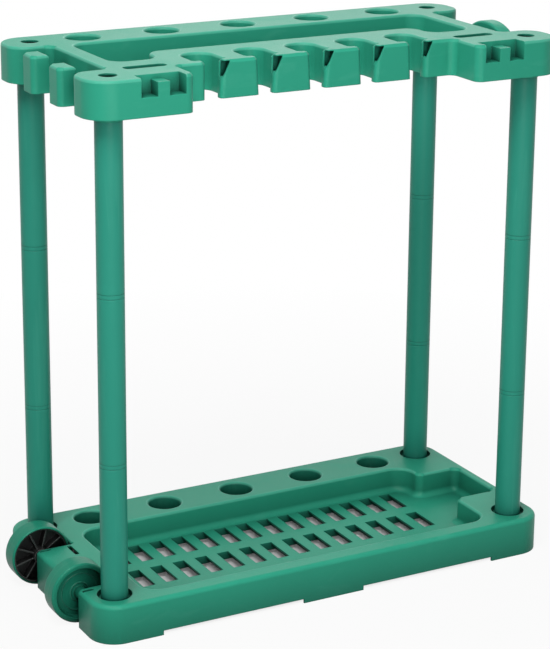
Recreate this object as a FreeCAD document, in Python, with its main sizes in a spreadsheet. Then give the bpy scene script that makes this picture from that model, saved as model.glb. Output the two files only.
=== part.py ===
import FreeCAD, Part
import math
import os
from types import SimpleNamespace

import Sketcher
from FreeCAD import Placement, Rotation, Vector

# Freestanding garden tool rack: a moulded top and base on four poles, with two wheels at the left end.
# +X runs along the rack to the hand grip, +Y to the back, +Z up, and z = 0 is the floor.
# The mouldings are drawn about the middle of the four poles, and every piece is then moved along X by
# one size, so that the origin lies below the middle of the whole rack with its wheels.

sizes = {
    "rack_height": 830,
    "pole_x": 345,
    "pole_y": 140,
    # the four poles, three tubes each
    "tube_diameter": 40,
    "tube_wall": 1.6,
    "tube_run": 254,
    "neck_length": 30,
    "neck_clearance": 0.1,
    "socket_floor": 6,
    # the top moulding
    "top_height": 55,
    "wall": 3,
    "corner_radius": 42.5,
    "boss_inner_radius": 30,
    "rim_bevel": 4,
    "rail_inside_x": 300,
    "rail_width": 28,
    "rail_corner": 12,
    "opening_corner": 24,
    "opening_front_y": -58,
    "bridge_x": 228,
    "bridge_back_y": -5,
    "block_x": 232,
    "block_corner": 12,
    "pole_hole_radius": 13.25,
    "socket_wall": 3,
    "socket_drop": 7,
    # the five tool holes of the top and the five cups of the base
    "hole_radius": 26,
    "hole_pitch": 130,
    # the front row of spring notches
    "notch_pitch": 85,
    "notch_width": 48,
    "notch_mouth": 25,
    "notch_back_y": -42,
    "notch_round": 22,
    "hook_front_y": -116,
    "hook_depth": 18,
    "hook_round": 7,
    "hook_heel": 4,
    "slit_skin": 1.5,
    "slit_depth": 29,
    "slit_width": 13,
    "slit_reach": 11,
    # the slots in the two front blocks
    "pocket_x": 280,
    "pocket_width": 68,
    "pocket_depth_y": 24,
    "pocket_height": 27,
    "tongue_width": 18,
    "tongue_drop": 7,
    "long_slot_x": 273,
    "long_slot_y": -105,
    "long_slot_length": 66,
    "long_slot_width": 18,
    "long_slot_depth": 14,
    # the two end posts on the left
    "post_y": 48,
    "post_width": 40,
    "post_depth": 26.5,
    "post_round": 9,
    "saddle_drop": 26,
    # the arched hand grip on the right
    "grip_radius": 78,
    "grip_drop": 2,
    "grip_thickness": 23,
    "grip_arm_y": 49,
    "grip_arm_width": 22,
    "grip_arm_height": 18,
    "grip_round": 4,
    # the base moulding
    "base_height": 60,
    "base_half_width": 185,
    "base_round": 7,
    "tray_left_x": 300,
    "tray_right_x": 297,
    "tray_front_y": -155,
    "tray_back_y": 97,
    "tray_corner": 30,
    "tray_depth": 40,
    "tray_fillet": 10,
    "bay_right_x": 372,
    "bay_front_y": -60,
    "bay_back_y": 52,
    "bay_corner": 12,
    "slot_width": 20,
    "slot_length": 60,
    "slot_pitch": 38.6,
    "slot_row_pitch": 86,
    "slot_row_y": -29,
    "rib_depth": 10,
    "rib_wall": 3,
    "cup_depth": 45,
    "pole_ring_radius": 26,
    "pole_ring_depth": 8,
    "foot_recess": 7,
    "foot_inner_x": 52,
    "foot_outer_x": 287,
    "foot_side_y": 100,
    # the wheels and their axle
    "well_inside_y": 57,
    "well_outside_y": 101,
    "well_x": 328,
    "well_corner": 5,
    "axle_x": -377,
    "axle_z": 47.5,
    "axle_diameter": 8,
    "axle_length": 221,
    "axle_clearance": 0.05,
    "wheel_radius": 47,
    "wheel_width": 32,
    "wheel_inside_y": 60.5,
    "wheel_end_play": 0.7,
    "tread_wall": 3.5,
    "tread_round": 3,
    "disc_wall": 3.5,
    "dish_radius": 36.8,
    "dish_slope": 2.5,
    "dish_depth": 8,
    "dish_wall": 2,
    "core_wall": 2,
    "core_clearance": 0.1,
    "core_inset": 1.5,
    "hub_radius": 13,
    "web_wall": 2.5,
    "web_inset": 16,
    "spoke_wall": 2.2,
    "spoke_inset": 2,
    "boss_radius": 9,
    "cap_radius": 6,
    "cap_wall": 1.5,
    "seat": 0.3,
    "vent_length": 18,
    "vent_width": 5,
    "vent_inner_y": 50,
    "vent_outer_y": 112,
    "gap_slot_x": 336.5,
    "gap_slot_y": 32.5,
    "gap_slot_length": 35,
    "gap_slot_width": 7,
}
hole_count = 5
notch_count = 5
slot_count = 14
slot_rows = 3
spoke_count = 9
spoke_start = 35.0

doc = FreeCAD.newDocument("garden_tool_rack")
sheet = doc.addObject("Spreadsheet::Sheet", "sizes")
for row, (alias, number) in enumerate(sizes.items(), start=1):
    sheet.set(f"A{row}", alias)
    sheet.set(f"B{row}", str(number))
    sheet.setAlias(f"B{row}", alias)
doc.recompute()


class Size:
    """A length together with the expression that keeps it tied to the sheet."""

    def __init__(self, text, value):
        self.text = text
        self.value = float(value)

    def __neg__(self):
        return Size(f"-({self.text})", -self.value)

    def __add__(self, other):
        other = as_size(other)
        return Size(f"({self.text} + {other.text})", self.value + other.value)

    def __sub__(self, other):
        other = as_size(other)
        return Size(f"({self.text} - {other.text})", self.value - other.value)

    def __mul__(self, factor):
        return Size(f"({self.text} * {factor})", self.value * factor)

    def __truediv__(self, factor):
        return Size(f"({self.text} / {factor})", self.value / factor)

    def __radd__(self, other):
        return as_size(other) + self

    def __rsub__(self, other):
        return as_size(other) - self

    __rmul__ = __mul__


def as_size(value):
    return value if isinstance(value, Size) else Size(repr(float(value)), value)


s = SimpleNamespace(**{alias: Size(f"sizes.{alias}", number) for alias, number in sizes.items()})

# Places that several pieces share
half_length = s.pole_x + s.corner_radius
half_width = s.pole_y + s.corner_radius
boss_inside = s.pole_y - s.corner_radius
top_bottom = s.rack_height - s.top_height
top_ceiling = s.rack_height - s.wall
rail_outside_x = s.rail_inside_x + s.rail_width
base_ceiling = s.base_height - s.wall
tray_floor = s.base_height - s.tray_depth
centre_shift = -(half_length + s.axle_x - s.wheel_radius) / 2
grip_centre_z = s.rack_height - s.grip_drop - s.grip_radius
neck_radius = s.tube_diameter / 2 - s.tube_wall - s.neck_clearance
corners = (("front_left", -1, -1), ("front_right", 1, -1), ("back_left", -1, 1), ("back_right", 1, 1))


def bind(feature, prop, value):
    """Ties one property of a feature to the sheet."""
    feature.setExpression(prop, as_size(value).text)


def origin_part(body, role):
    return next(part for part in body.Origin.OriginFeatures if part.Role == role)


class Drawing:
    """A sketch of one body whose lines, arcs and circles are dimensioned from the sheet."""

    def __init__(self, body, name, offset, role="XY_Plane"):
        self.sketch = body.newObject("Sketcher::SketchObject", name)
        self.sketch.AttachmentSupport = (origin_part(body, role), "")
        self.sketch.MapMode = "FlatFace"
        self.sketch.AttachmentOffset = Placement(Vector(0, 0, as_size(offset).value), Rotation())
        bind(self.sketch, "AttachmentOffset.Base.z", offset)

    def dimension(self, rows):
        """Adds constraints, each with the size that drives it or None."""
        first = self.sketch.ConstraintCount
        self.sketch.addConstraint([constraint for constraint, size in rows])
        for index, (constraint, size) in enumerate(rows, start=first):
            if size is not None:
                bind(self.sketch, f"Constraints[{index}]", size)

    def circle(self, x, y, radius):
        x, y, radius = as_size(x), as_size(y), as_size(radius)
        geometry = Part.Circle(Vector(x.value, y.value, 0), Vector(0, 0, 1), radius.value)
        item = self.sketch.addGeometry(geometry)
        self.dimension([
            (Sketcher.Constraint("DistanceX", -1, 1, item, 3, x.value), x),
            (Sketcher.Constraint("DistanceY", -1, 1, item, 3, y.value), y),
            (Sketcher.Constraint("Radius", item, radius.value), radius),
        ])

    def outline(self, points):
        """Draws a closed outline of square corners, each (x, y, radius of its round)."""
        points = [tuple(as_size(number) for number in point) for point in points]
        count = len(points)
        steps = []
        for index, (x, y, radius) in enumerate(points):
            next_x, next_y, next_radius = points[(index + 1) % count]
            across, along = next_x.value - x.value, next_y.value - y.value
            steps.append((sign(across), sign(along)))
        lines = []
        rows = []
        for index, (x, y, radius) in enumerate(points):
            step_x, step_y = steps[index]
            next_x, next_y, next_radius = points[(index + 1) % count]
            start = (x + radius * step_x, y + radius * step_y)
            end = (next_x - next_radius * step_x, next_y - next_radius * step_y)
            item = self.sketch.addGeometry(Part.LineSegment(flat_point(*start), flat_point(*end)))
            lines.append(item)
            rows.append((Sketcher.Constraint("DistanceX", -1, 1, item, 1, start[0].value), start[0]))
            rows.append((Sketcher.Constraint("DistanceY", -1, 1, item, 1, start[1].value), start[1]))
            if step_x:
                rows.append((Sketcher.Constraint("Horizontal", item), None))
                rows.append((Sketcher.Constraint("DistanceX", -1, 1, item, 2, end[0].value), end[0]))
            else:
                rows.append((Sketcher.Constraint("Vertical", item), None))
                rows.append((Sketcher.Constraint("DistanceY", -1, 1, item, 2, end[1].value), end[1]))
        self.dimension(rows)
        joints = []
        for index, (x, y, radius) in enumerate(points):
            before = lines[index - 1]
            after = lines[index]
            if radius.value == 0:
                continue
            back_x, back_y = steps[index - 1]
            step_x, step_y = steps[index]
            left_turn = back_x * step_y - back_y * step_x > 0
            centre = Vector(
                x.value + radius.value * (step_x - back_x), y.value + radius.value * (step_y - back_y), 0
            )
            entry = math.atan2(-step_y, -step_x)
            leave = math.atan2(back_y, back_x)
            first, last = (entry, leave) if left_turn else (leave, entry)
            while last < first:
                last += 2 * math.pi
            arc = Part.ArcOfCircle(Part.Circle(centre, Vector(0, 0, 1), radius.value), first, last)
            item = self.sketch.addGeometry(arc)
            start_end, finish_end = (1, 2) if left_turn else (2, 1)
            joints.append((Sketcher.Constraint("Coincident", item, start_end, before, 2), None))
            joints.append((Sketcher.Constraint("Coincident", item, finish_end, after, 1), None))
            joints.append((Sketcher.Constraint("Radius", item, radius.value), radius))
        if joints:
            self.dimension(joints)

    def box(self, x_low, x_high, y_low, y_high, radius=0):
        self.outline([(x_low, y_low, radius), (x_high, y_low, radius), (x_high, y_high, radius),
                      (x_low, y_high, radius)])

    def polygon(self, points):
        """Draws a closed outline of straight lines through the points."""
        points = [tuple(as_size(number) for number in point) for point in points]
        rows = []
        for index, start in enumerate(points):
            end = points[(index + 1) % len(points)]
            item = self.sketch.addGeometry(Part.LineSegment(flat_point(*start), flat_point(*end)))
            rows.append((Sketcher.Constraint("DistanceX", -1, 1, item, 1, start[0].value), start[0]))
            rows.append((Sketcher.Constraint("DistanceY", -1, 1, item, 1, start[1].value), start[1]))
            rows.append((Sketcher.Constraint("DistanceX", -1, 1, item, 2, end[0].value), end[0]))
            rows.append((Sketcher.Constraint("DistanceY", -1, 1, item, 2, end[1].value), end[1]))
        self.dimension(rows)


def sign(number):
    return (number > 1e-6) - (number < -1e-6)


def flat_point(x, y):
    return Vector(x.value, y.value, 0)


def inset(points, wall):
    """The outline moved in by a wall's thickness. The points run anticlockwise."""
    points = [tuple(as_size(number) for number in point) for point in points]
    moved = []
    for index, (x, y, radius) in enumerate(points):
        before = points[index - 1]
        after = points[(index + 1) % len(points)]
        back = sign(x.value - before[0].value), sign(y.value - before[1].value)
        step = sign(after[0].value - x.value), sign(after[1].value - y.value)
        convex = back[0] * step[1] - back[1] * step[0] > 0
        new_radius = radius
        if radius.value:
            new_radius = radius - wall if convex else radius + wall
        moved.append((x - wall * (back[1] + step[1]), y + wall * (back[0] + step[0]), new_radius))
    return moved


def mirrored(points):
    """The same outline on the other side of x = 0, still anticlockwise."""
    return [(-as_size(x), y, radius) for x, y, radius in reversed(points)]


def new_body(name):
    body = doc.addObject("PartDesign::Body", name)
    body.Label = name
    return body


def grow(body, name, drawing, length, refine=False):
    """Pads a drawing up from its plane."""
    feature = body.newObject("PartDesign::Pad", name)
    feature.Profile = drawing.sketch
    feature.Refine = refine
    bind(feature, "Length", length)
    doc.recompute()
    return feature


def cut(body, name, drawing, length):
    """Pockets a drawing down from its plane, and stops if it cuts nothing."""
    before = body.Tip.Shape.Volume
    feature = body.newObject("PartDesign::Pocket", name)
    feature.Profile = drawing.sketch
    feature.Refine = False
    bind(feature, "Length", length)
    doc.recompute()
    if feature.Shape.isNull() or feature.Shape.Volume > before - 0.01:
        raise RuntimeError(f"{name} cuts nothing")
    return feature


def repeat(body, name, feature, axis, pitch, count):
    """Repeats a feature along one axis of the body."""
    pattern = body.newObject("PartDesign::LinearPattern", name)
    pattern.Originals = [feature]
    pattern.Direction = (origin_part(body, axis), [""])
    bind(pattern, "Length", pitch * (count - 1))
    pattern.Occurrences = count
    pattern.Refine = False
    body.Tip = pattern
    doc.recompute()
    return pattern


def turn(body, name, drawing, axis):
    """Revolves a drawing once round an axis of the body."""
    feature = body.newObject("PartDesign::Revolution", name)
    feature.Profile = drawing.sketch
    feature.ReferenceAxis = (origin_part(body, axis), [""])
    feature.Angle = 360
    doc.recompute()
    return feature


def stand(body, x, y, z):
    """Places a body by sizes of the sheet."""
    body.Placement = Placement(Vector(as_size(x).value, as_size(y).value, as_size(z).value), Rotation())
    bind(body, ".Placement.Base.x", x)
    bind(body, ".Placement.Base.y", y)
    bind(body, ".Placement.Base.z", z)


def soften(body, name, radius, wanted):
    """Rounds each edge of the body that the test picks."""
    tip = body.Tip
    names = [f"Edge{number}" for number, edge in enumerate(tip.Shape.Edges, start=1) if wanted(edge)]
    feature = body.newObject("PartDesign::Fillet", name)
    feature.Base = (tip, names)
    bind(feature, "Radius", radius)
    doc.recompute()
    return feature


def chamfer(body, name, size, wanted):
    """Bevels each edge of the body that the test picks."""
    tip = body.Tip
    names = [f"Edge{number}" for number, edge in enumerate(tip.Shape.Edges, start=1) if wanted(edge)]
    feature = body.newObject("PartDesign::Chamfer", name)
    feature.Base = (tip, names)
    bind(feature, "Size", size)
    doc.recompute()
    return feature


def level_edge(height):
    """A test for edges that lie at one height."""
    def test(edge):
        box = edge.BoundBox
        return abs(box.ZMin - height.value) < 1e-4 and abs(box.ZMax - height.value) < 1e-4
    return test


def upright_edge(places):
    """A test for upright edges that stand at one of the places (x, y)."""
    def test(edge):
        box = edge.BoundBox
        if box.XLength > 1e-4 or box.YLength > 1e-4:
            return False
        return any(math.hypot(box.XMin - x, box.YMin - y) < 1e-3 for x, y in places)
    return test


def hole_places():
    """The x of each tool hole, the same in the top and in the base."""
    return [s.hole_pitch * (number - (hole_count - 1) / 2) for number in range(hole_count)]


# Top moulding
top_outline = [
    (-half_length, -half_width, s.corner_radius - 1),
    (-s.block_x, -half_width, s.block_corner),
    (-s.block_x, s.hook_front_y, s.block_corner),
    (s.block_x, s.hook_front_y, s.block_corner),
    (s.block_x, -half_width, s.block_corner),
    (half_length, -half_width, s.corner_radius - 1),
    (half_length, -boss_inside, s.boss_inner_radius),
    (rail_outside_x, -boss_inside, s.rail_corner),
    (rail_outside_x, boss_inside, s.rail_corner),
    (half_length, boss_inside, s.boss_inner_radius),
    (half_length, half_width, s.corner_radius - 1),
    (-half_length, half_width, s.corner_radius - 1),
    (-half_length, boss_inside, s.boss_inner_radius),
    (-rail_outside_x, boss_inside, s.rail_corner),
    (-rail_outside_x, -boss_inside, s.rail_corner),
    (-half_length, -boss_inside, s.boss_inner_radius),
]
opening = [
    (-s.rail_inside_x, s.opening_front_y, s.opening_corner),
    (-s.bridge_x, s.opening_front_y, s.opening_corner),
    (-s.bridge_x, s.bridge_back_y, s.opening_corner),
    (s.bridge_x, s.bridge_back_y, s.opening_corner),
    (s.bridge_x, s.opening_front_y, s.opening_corner),
    (s.rail_inside_x, s.opening_front_y, s.opening_corner),
    (s.rail_inside_x, boss_inside, s.opening_corner),
    (-s.rail_inside_x, boss_inside, s.opening_corner),
]
first_notch_x = -s.notch_pitch * ((notch_count - 1) / 2)
hook_back_y = s.hook_front_y + s.hook_depth
finger_width = s.notch_pitch - s.notch_width
past = s.wall


def notch_outline():
    side = s.notch_width / 2
    mouth = s.notch_mouth / 2
    x = first_notch_x
    return [
        (x - mouth, s.hook_front_y - past, 0),
        (x + mouth, s.hook_front_y - past, 0),
        (x + mouth, hook_back_y, s.hook_round),
        (x + side, hook_back_y, s.hook_heel),
        (x + side, s.notch_back_y, s.notch_round),
        (x - side, s.notch_back_y, s.notch_round),
        (x - side, hook_back_y, s.hook_heel),
        (x - mouth, hook_back_y, s.hook_round),
    ]


def post_spans():
    """The two end posts, each as its low and high y."""
    half = s.post_width / 2
    return [(-s.post_y - half, -s.post_y + half), (s.post_y - half, s.post_y + half)]


def top_shape(body):
    """The solid form of the top, before it is hollowed."""
    plan = Drawing(body, "top_plan", top_bottom)
    plan.outline(top_outline)
    grow(body, "top_block", plan, s.top_height)
    posts = Drawing(body, "posts_plan", top_bottom)
    for low, high in post_spans():
        posts.outline([(-half_length, low, s.post_round), (-rail_outside_x + past, low, 0),
                       (-rail_outside_x + past, high, 0), (-half_length, high, s.post_round)])
    grow(body, "posts", posts, s.top_height, refine=True)
    saddles = Drawing(body, "saddles_plan", s.rack_height)
    for low, high in post_spans():
        saddles.box(-half_length + s.post_depth, -rail_outside_x, low - past, high + past)
    cut(body, "saddles", saddles, s.saddle_drop)
    middle = Drawing(body, "opening_plan", s.rack_height)
    middle.outline(opening)
    cut(body, "opening", middle, s.top_height + past)
    notch = Drawing(body, "notch_plan", s.rack_height)
    notch.outline(notch_outline())
    repeat(body, "notches", cut(body, "notch", notch, s.top_height + past), "X_Axis", s.notch_pitch, notch_count)
    mouths = [first_notch_x + s.notch_pitch * number for number in range(notch_count)]
    half = s.notch_mouth / 2
    places = [(x.value + side * half.value, s.hook_front_y.value) for x in mouths for side in (-1, 1)]
    soften(body, "mouth_rounds", s.hook_round, upright_edge(places))
    holes = Drawing(body, "holes_plan", s.rack_height)
    for x in hole_places():
        holes.circle(x, s.pole_y, s.hole_radius)
    cut(body, "tool_holes", holes, s.top_height + past)
    chamfer(body, "rim_bevels", s.rim_bevel, level_edge(s.rack_height))
    grip_form(body)


def top_pockets(body):
    """The twin slots and the long slot of each front block."""
    recess = Drawing(body, "recess_plan", s.rack_height)
    slots = Drawing(body, "twin_slots_plan", s.rack_height)
    longs = Drawing(body, "long_slots_plan", s.rack_height)
    back = -half_width + s.pocket_depth_y
    for side in (-1, 1):
        inner = (s.pocket_x - s.pocket_width / 2) * side
        outer = (s.pocket_x + s.pocket_width / 2) * side
        tongue_in = (s.pocket_x - s.tongue_width / 2) * side
        tongue_out = (s.pocket_x + s.tongue_width / 2) * side
        recess.box(inner, outer, -half_width - past, back)
        slots.box(inner, tongue_in, -half_width - past, back)
        slots.box(tongue_out, outer, -half_width - past, back)
        end = s.long_slot_length / 2
        middle = s.long_slot_x * side
        half = s.long_slot_width / 2
        longs.box(middle - end, middle + end, s.long_slot_y - half, s.long_slot_y + half,
                  s.long_slot_width * 0.45)
    cut(body, "recesses", recess, s.tongue_drop)
    cut(body, "twin_slots", slots, s.pocket_height)
    cut(body, "long_slots", longs, s.long_slot_depth)


def top_hollow(body):
    """Hollows the top from below, down to its walls."""
    block_out = s.pocket_x + s.pocket_width / 2 + s.wall * 2
    block_in = s.long_slot_x - s.long_slot_length / 2 - s.wall
    block_back = s.long_slot_y + s.long_slot_width / 2 + s.wall * 2
    hook_wall_y = s.hook_front_y + s.wall
    tip_x = s.notch_pitch * ((notch_count - 1) / 2) + s.notch_mouth / 2 + s.wall
    side_x = s.notch_pitch * ((notch_count - 1) / 2) + s.notch_width / 2 + s.wall
    inner = inset(top_outline, s.wall)
    right_half = [
        (side_x, s.notch_back_y + s.wall, 0),
        (side_x, hook_back_y - s.wall, 0),
        (tip_x, hook_back_y - s.wall, 0),
        (tip_x, hook_wall_y, 0),
        (block_in, hook_wall_y, 0),
        (block_in, block_back, 0),
        (block_out, block_back, 0),
        (block_out, -half_width + s.wall, 0),
    ]
    hollow = Drawing(body, "hollow_plan", top_ceiling)
    hollow.outline([inner[0]] + mirrored(right_half) + right_half + inner[5:])
    hollow.outline(inset(opening, -s.wall))
    for x in hole_places():
        hollow.circle(x, s.pole_y, s.hole_radius + s.wall)
    for name, side_x, side_y in corners:
        hollow.circle(s.pole_x * side_x, s.pole_y * side_y, neck_radius + s.socket_wall)
    cut(body, "hollow", hollow, s.top_height)
    low = Drawing(body, "block_hollow_plan", s.rack_height - s.pocket_height - s.wall)
    block_room = [
        (s.block_x + s.wall, -half_width + s.wall, s.block_corner - s.wall),
        (block_out + s.wall, -half_width + s.wall, 0),
        (block_out + s.wall, block_back + s.wall, 0),
        (s.block_x + s.wall, block_back + s.wall, 0),
    ]
    low.outline(block_room)
    low.outline(mirrored(block_room))
    cut(body, "block_hollow", low, s.top_height)
    finger = Drawing(body, "finger_hollow_plan", top_ceiling)
    x = first_notch_x + s.notch_pitch / 2
    neck = finger_width / 2 - s.wall
    head = (s.notch_pitch - s.notch_mouth) / 2 - s.wall
    finger.outline([
        (x - head, hook_wall_y, 3), (x + head, hook_wall_y, 3), (x + head, hook_back_y - s.wall, 0),
        (x + neck, hook_back_y - s.wall, 0), (x + neck, s.notch_back_y + s.wall + past, 0),
        (x - neck, s.notch_back_y + s.wall + past, 0), (x - neck, hook_back_y - s.wall, 0),
        (x - head, hook_back_y - s.wall, 0),
    ])
    repeat(body, "finger_hollows", cut(body, "finger_hollow", finger, s.top_height), "X_Axis", s.notch_pitch,
           notch_count - 1)
    slit = Drawing(body, "slit_plan", past - s.hook_front_y, "XZ_Plane")
    tip = first_notch_x + s.notch_mouth / 2
    slit.polygon([
        (tip - past, s.rack_height - s.slit_skin), (tip - past, s.rack_height - s.slit_depth),
        (tip + 0.5, s.rack_height - s.slit_depth), (tip + s.slit_width, s.rack_height - s.slit_skin),
    ])
    repeat(body, "slits", cut(body, "slit", slit, s.slit_reach + past), "X_Axis", s.notch_pitch, notch_count)
    post = Drawing(body, "post_hollow_plan", top_ceiling)
    saddle = Drawing(body, "saddle_hollow_plan", top_ceiling - s.saddle_drop)
    for low_y, high_y in post_spans():
        post.box(-half_length + s.wall, -half_length + s.post_depth - s.wall, low_y + s.wall, high_y - s.wall, 4)
        saddle.box(-half_length + s.post_depth - s.wall - 1, -rail_outside_x + s.wall + 1, low_y + s.wall,
                   high_y - s.wall)
    cut(body, "post_hollow", post, s.top_height)
    cut(body, "saddle_hollow", saddle, s.top_height)


def grip_form(body):
    """The arched hand grip and its two arms, still solid."""
    arms = Drawing(body, "grip_arms_plan", top_bottom)
    half = s.grip_arm_width / 2
    for side in (-1, 1):
        arms.box(rail_outside_x - s.wall + 1, half_length - s.grip_thickness + s.wall, s.grip_arm_y * side - half,
                 s.grip_arm_y * side + half)
    grow(body, "grip_arms", arms, s.grip_arm_height)
    arch = arch_drawing(body, "grip_arch", half_length - s.grip_thickness, s.grip_radius)
    grow(body, "grip", arch, s.grip_thickness)
    crown = (grip_centre_z + s.grip_radius).value
    soften(body, "grip_rounds", s.grip_round, lambda edge: abs(edge.BoundBox.ZMax - crown) < 1e-3
           and edge.BoundBox.XLength < 1e-4)


def grip_hollow(body):
    """Hollows the grip and its arms from below."""
    inner = arch_drawing(body, "grip_hollow_arch", half_length - s.wall, s.grip_radius - s.wall)
    cut(body, "grip_hollow", inner, s.grip_thickness - s.wall * 2)
    arm_hollow = Drawing(body, "arm_hollow_plan", top_bottom + s.grip_arm_height - s.wall)
    half = s.grip_arm_width / 2 - s.wall
    for side in (-1, 1):
        arm_hollow.box(rail_outside_x - s.wall - 1, half_length - s.grip_thickness + s.wall + 1,
                       s.grip_arm_y * side - half, s.grip_arm_y * side + half)
    cut(body, "arm_hollow", arm_hollow, s.grip_arm_height)


def arch_drawing(body, name, x, radius):
    """An arch on the YZ plane, flat at the bottom of the top moulding."""
    centre_z = grip_centre_z
    drawing = Drawing(body, name, x, "YZ_Plane")
    sketch = drawing.sketch
    rise = top_bottom.value - centre_z.value
    half = math.sqrt(radius.value ** 2 - rise ** 2)
    low = math.atan2(rise, half)
    circle = Part.Circle(Vector(0, centre_z.value, 0), Vector(0, 0, 1), radius.value)
    arc = sketch.addGeometry(Part.ArcOfCircle(circle, low, math.pi - low))
    left = Vector(-half, top_bottom.value, 0)
    right = Vector(half, top_bottom.value, 0)
    chord = sketch.addGeometry(Part.LineSegment(left, right))
    drawing.dimension([
        (Sketcher.Constraint("PointOnObject", arc, 3, -2), None),
        (Sketcher.Constraint("DistanceY", -1, 1, arc, 3, centre_z.value), centre_z),
        (Sketcher.Constraint("Radius", arc, radius.value), radius),
        (Sketcher.Constraint("Coincident", arc, 1, chord, 2), None),
        (Sketcher.Constraint("Coincident", arc, 2, chord, 1), None),
        (Sketcher.Constraint("Horizontal", chord), None),
        (Sketcher.Constraint("DistanceY", -1, 1, chord, 1, top_bottom.value), top_bottom),
    ])
    return drawing


def top_sockets(body):
    """The four sockets that take the poles' necks, and the holes above them."""
    socket_bottom = top_bottom - s.socket_drop
    rings = Drawing(body, "socket_rings_plan", socket_bottom)
    bores = Drawing(body, "socket_bores_plan", top_ceiling)
    holes = Drawing(body, "pole_holes_plan", s.rack_height)
    for name, side_x, side_y in corners:
        place = (s.pole_x * side_x, s.pole_y * side_y)
        rings.circle(*place, neck_radius + s.socket_wall)
        bores.circle(*place, neck_radius + s.neck_clearance)
        holes.circle(*place, s.pole_hole_radius)
    grow(body, "socket_rings", rings, s.socket_drop + 1)
    cut(body, "socket_bores", bores, s.top_height + s.socket_drop)
    cut(body, "pole_holes", holes, s.wall + 1)


def make_top():
    body = new_body("top_frame")
    top_shape(body)
    top_pockets(body)
    top_hollow(body)
    grip_hollow(body)
    top_sockets(body)
    stand(body, centre_shift, 0, 0)
    return body


# Base moulding
base_outline = [
    (-half_length, -s.base_half_width, s.corner_radius - 1),
    (half_length, -s.base_half_width, s.corner_radius - 1),
    (half_length, s.base_half_width, s.corner_radius - 1),
    (-half_length, s.base_half_width, s.corner_radius - 1),
    (-half_length, s.well_outside_y, s.well_corner),
    (-s.well_x, s.well_outside_y, s.well_corner),
    (-s.well_x, s.well_inside_y, s.well_corner),
    (-half_length, s.well_inside_y, s.well_corner * 2),
    (-half_length, -s.well_inside_y, s.well_corner * 2),
    (-s.well_x, -s.well_inside_y, s.well_corner),
    (-s.well_x, -s.well_outside_y, s.well_corner),
    (-half_length, -s.well_outside_y, s.well_corner),
]
tray = [
    (-s.tray_left_x, s.tray_front_y, s.tray_corner),
    (s.tray_right_x, s.tray_front_y, s.tray_corner),
    (s.tray_right_x, s.bay_front_y, s.bay_corner),
    (s.bay_right_x, s.bay_front_y, s.bay_corner),
    (s.bay_right_x, s.bay_back_y, s.bay_corner),
    (s.tray_right_x, s.bay_back_y, s.bay_corner),
    (s.tray_right_x, s.tray_back_y, s.tray_corner),
    (-s.tray_left_x, s.tray_back_y, s.tray_corner),
]
first_slot_x = -s.slot_pitch * ((slot_count - 1) / 2)
floor_bottom = tray_floor - s.wall


def slot_row_places():
    return [s.slot_row_y + s.slot_row_pitch * (number - (slot_rows - 1) / 2) for number in range(slot_rows)]


def inner_edge(edge):
    """True for the top edges of the tray, the cups and the wells."""
    box = edge.BoundBox
    reach_x = (half_length - s.base_round).value - 1
    reach_y = (s.base_half_width - s.base_round).value - 1
    inside = abs(box.XMax) < reach_x and max(box.YMax, -box.YMin) < reach_y
    return inside and level_edge(s.base_height)(edge)


def base_shape(body):
    """The solid form of the base, with its tray, cups and pole sockets."""
    plan = Drawing(body, "base_plan", 0)
    plan.box(-half_length, half_length, -s.base_half_width, s.base_half_width, s.corner_radius - 1)
    grow(body, "base_block", plan, s.base_height)
    soften(body, "base_rounds", s.base_round, level_edge(s.base_height))
    wells = Drawing(body, "wells_plan", s.base_height)
    for low, high in ((-s.well_outside_y, -s.well_inside_y), (s.well_inside_y, s.well_outside_y)):
        wells.outline([(-half_length - past, low, 0), (-s.well_x, low, s.well_corner),
                       (-s.well_x, high, s.well_corner), (-half_length - past, high, 0)])
    cut(body, "wells", wells, s.base_height + 1)
    tray_plan = Drawing(body, "tray_plan", s.base_height)
    tray_plan.outline(tray)
    cut(body, "tray", tray_plan, s.tray_depth)
    soften(body, "tray_fillet", s.tray_fillet, level_edge(tray_floor))
    cups = Drawing(body, "cups_plan", s.base_height)
    for x in hole_places():
        cups.circle(x, s.pole_y, s.hole_radius)
    cut(body, "cups", cups, s.cup_depth)
    chamfer(body, "mouth_bevels", s.rim_bevel, inner_edge)
    rings = Drawing(body, "pole_rings_plan", s.base_height)
    sockets = Drawing(body, "pole_sockets_plan", s.base_height)
    for name, side_x, side_y in corners:
        place = (s.pole_x * side_x, s.pole_y * side_y)
        rings.circle(*place, s.pole_ring_radius)
        sockets.circle(*place, s.tube_diameter / 2 + s.neck_clearance)
    cut(body, "pole_rings", rings, s.pole_ring_depth)
    cut(body, "pole_sockets", sockets, s.base_height - s.socket_floor)


def base_hollow(body):
    """Hollows the base from below and leaves the tray, the cups and the sockets standing."""
    hollow = Drawing(body, "base_hollow_plan", base_ceiling)
    hollow.outline(inset(base_outline, s.wall))
    hollow.outline(inset(tray, -s.wall))
    for x in hole_places():
        hollow.circle(x, s.pole_y, s.hole_radius + s.wall)
    for name, side_x, side_y in corners:
        hollow.circle(s.pole_x * side_x, s.pole_y * side_y, s.pole_ring_radius + s.wall)
    cut(body, "base_hollow", hollow, s.base_height)
    under = Drawing(body, "under_tray_plan", floor_bottom)
    under.outline(inset(tray, -s.wall))
    cut(body, "under_tray", under, s.base_height)


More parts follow.
